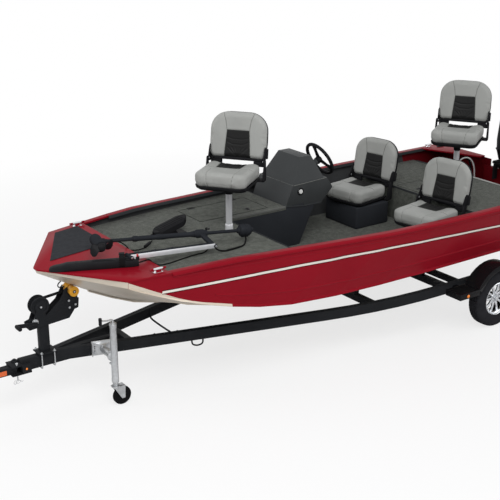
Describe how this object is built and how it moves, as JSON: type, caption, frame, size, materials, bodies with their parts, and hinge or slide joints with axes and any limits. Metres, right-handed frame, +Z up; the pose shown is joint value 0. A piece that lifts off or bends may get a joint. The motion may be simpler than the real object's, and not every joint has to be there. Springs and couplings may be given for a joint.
{
  "type": "aluminum fishing boat on trailer",
  "caption": "Aluminum fishing boat with outboard, bow trolling motor, swivel seats and side console, parked on its bunk trailer with swing-away tongue and jack.",
  "frame": {"origin": "middle of the bottom of the bounding box, on the floor", "axes": "+X towards the bow and the trailer's coupler, +Y to port, +Z up"},
  "size_m": [6.6, 2.046, 2.043],
  "materials": {
    "red_paint": "gloss",
    "carpet": "looped pile",
    "dark_plastic": "fine grain",
    "black_plastic": "satin",
    "grey_vinyl": "smooth marine vinyl",
    "zinc": "zinc plated",
    "black_steel": "gloss black",
    "yellow_rubber": "moulded urethane",
    "rubber": "moulded rubber",
    "chrome": "bright",
    "bunk_carpet": "short pile",
    "strap": "woven webbing"
  },
  "bodies": {
    "hull": {"hull_shell": "red_paint", "rail_cap_port": "red_paint", "rail_cap_starboard": "red_paint", "bow_cap": "red_paint", "splash_well": "red_paint", "bow_pad": "carpet", "cockpit_floor": "carpet", "bow_deck": "carpet", "aft_deck": "carpet", "console": "dark_plastic", "console_side_panel": "dark_plastic", "driver_seat_box": "dark_plastic", "seat_pan_driver": "black_plastic", "seat_pan_passenger": "black_plastic", "passenger_seat_stand": "black_plastic", "outboard_clamp": "black_plastic", "trolling_mount": "black_plastic", "trolling_arms": "black_plastic", "trolling_shaft": "black_plastic", "foot_pedal": "black_plastic", "fender_port": "black_plastic", "fender_starboard": "black_plastic", "seat_cushion_driver": "grey_vinyl", "seat_cushion_passenger": "grey_vinyl", "seat_post_bow": "zinc", "seat_post_stern": "zinc", "jack_bracket": "zinc", "trailer_frame": "black_steel", "winch_stand": "black_steel", "axle_and_springs": "black_steel", "bunk_port": "bunk_carpet", "bunk_starboard": "bunk_carpet", "winch_strap": "strap"},
    "wheel_port": {"tyre_port": "rubber", "rim_port": "chrome"},
    "wheel_starboard": {"tyre_starboard": "rubber", "rim_starboard": "chrome"},
    "bow_roller": {"bow_roller": "yellow_rubber"},
    "tongue_front": {"tongue_front": "black_steel"},
    "steering_wheel": {"steering_wheel": "black_plastic"},
    "outboard_swivel": {"outboard_swivel": "black_plastic"},
    "outboard_motor": {"outboard_motor": "black_plastic"},
    "outboard_propeller": {"outboard_propeller": "black_plastic"},
    "bow_seat": {"seat_pan_bow": "black_plastic", "seat_cushion_bow": "grey_vinyl"},
    "stern_seat": {"seat_pan_stern": "black_plastic", "seat_cushion_stern": "grey_vinyl"},
    "bow_seat_back": {"seat_back_bow": "grey_vinyl"},
    "stern_seat_back": {"seat_back_stern": "grey_vinyl"},
    "driver_seat_back": {"seat_back_driver": "grey_vinyl"},
    "passenger_seat_back": {"seat_back_passenger": "grey_vinyl"},
    "side_deck_lid": {"side_deck_lid": "carpet"},
    "aft_deck_lid": {"aft_deck_lid": "carpet"},
    "trolling_propeller": {"trolling_propeller": "black_plastic"},
    "jack_tube": {"jack_tube": "zinc"},
    "jack_leg": {"jack_leg": "zinc"},
    "jack_fork": {"jack_fork": "zinc"},
    "jack_wheel": {"jack_wheel": "rubber"}
  },
  "joints": [
    {"name": "wheel_port_spin", "type": "hinge", "parent": "hull", "child": "wheel_port", "pos_m": [-1.65, 0.93, 0.267], "axis": [0, 1, 0], "continuous": true},
    {"name": "wheel_starboard_spin", "type": "hinge", "parent": "hull", "child": "wheel_starboard", "pos_m": [-1.65, -0.93, 0.267], "axis": [0, 1, 0], "continuous": true},
    {"name": "bow_roller_spin", "type": "hinge", "parent": "hull", "child": "bow_roller", "pos_m": [2.085, 0, 0.903], "axis": [0, 1, 0], "continuous": true},
    {"name": "tongue_fold", "type": "hinge", "parent": "hull", "child": "tongue_front", "pos_m": [2.565, -0.04, 0.373], "axis": [0, 0, -1], "range_deg": [0, 90]},
    {"name": "steering_wheel_turn", "type": "hinge", "parent": "hull", "child": "steering_wheel", "pos_m": [-0.745, -0.5, 1.395], "axis": [-0.8829, 0, 0.4695], "range_deg": [-540, 540]},
    {"name": "outboard_tilt", "type": "hinge", "parent": "hull", "child": "outboard_swivel", "pos_m": [-2.77, 0, 1.125], "axis": [0, 1, 0], "range_deg": [0, 50]},
    {"name": "outboard_steer", "type": "hinge", "parent": "outboard_swivel", "child": "outboard_motor", "pos_m": [-2.94, 0, 1.125], "axis": [0, 0, 1], "range_deg": [-30, 30]},
    {"name": "outboard_propeller_spin", "type": "hinge", "parent": "outboard_motor", "child": "outboard_propeller", "pos_m": [-3.2355, 0, 0.42], "axis": [1, 0, 0], "continuous": true},
    {"name": "bow_seat_swivel", "type": "hinge", "parent": "hull", "child": "bow_seat", "pos_m": [0.62, 0, 1.485], "axis": [0, 0, 1], "continuous": true},
    {"name": "stern_seat_swivel", "type": "hinge", "parent": "hull", "child": "stern_seat", "pos_m": [-2.04, 0, 1.465], "axis": [0, 0, 1], "continuous": true},
    {"name": "bow_seat_back_fold", "type": "hinge", "parent": "bow_seat", "child": "bow_seat_back", "pos_m": [0.46826, -0.11435, 1.65], "axis": [-0.6018, 0.7986, 0], "range_deg": [0, 95]},
    {"name": "stern_seat_back_fold", "type": "hinge", "parent": "stern_seat", "child": "stern_seat_back", "pos_m": [-2.19935, -0.10348, 1.63], "axis": [-0.5446, 0.8387, 0], "range_deg": [0, 95]},
    {"name": "driver_seat_back_fold", "type": "hinge", "parent": "hull", "child": "driver_seat_back", "pos_m": [-1.38711, -0.50299, 1.095], "axis": [-0.1736, 0.9848, 0], "range_deg": [0, 95]},
    {"name": "passenger_seat_back_fold", "type": "hinge", "parent": "hull", "child": "passenger_seat_back", "pos_m": [-1.38711, 0.45701, 1.095], "axis": [-0.1736, 0.9848, 0], "range_deg": [0, 95]},
    {"name": "side_deck_lid_open", "type": "hinge", "parent": "hull", "child": "side_deck_lid", "pos_m": [0.35, -0.685, 1.1], "axis": [1, 0, 0], "range_deg": [0, 85]},
    {"name": "aft_deck_lid_open", "type": "hinge", "parent": "hull", "child": "aft_deck_lid", "pos_m": [-1.885, 0, 1.04], "axis": [0, -1, 0], "range_deg": [0, 85]},
    {"name": "trolling_propeller_spin", "type": "hinge", "parent": "hull", "child": "trolling_propeller", "pos_m": [1.90387, 0.1912, 1.26433], "axis": [0.2261, 0.9741, 0], "continuous": true},
    {"name": "jack_swing", "type": "hinge", "parent": "hull", "child": "jack_tube", "pos_m": [1.91, 0.33, 0.41], "axis": [0, 1, 0], "range_deg": [0, 90]},
    {"name": "jack_extend", "type": "slide", "parent": "jack_tube", "child": "jack_leg", "axis": [0, 0, 1], "range_m": [-0.2, 0.02]},
    {"name": "jack_swivel", "type": "hinge", "parent": "jack_leg", "child": "jack_fork", "pos_m": [1.91, 0.33, 0.172], "axis": [0, 0, 1], "continuous": true},
    {"name": "jack_wheel_spin", "type": "hinge", "parent": "jack_fork", "child": "jack_wheel", "pos_m": [1.86, 0.33, 0.076], "axis": [0, 1, 0], "continuous": true}
  ],
  "couplings": [
    {"joint": "outboard_steer", "follows": "steering_wheel_turn", "ratio": 0.055556}
  ]
}
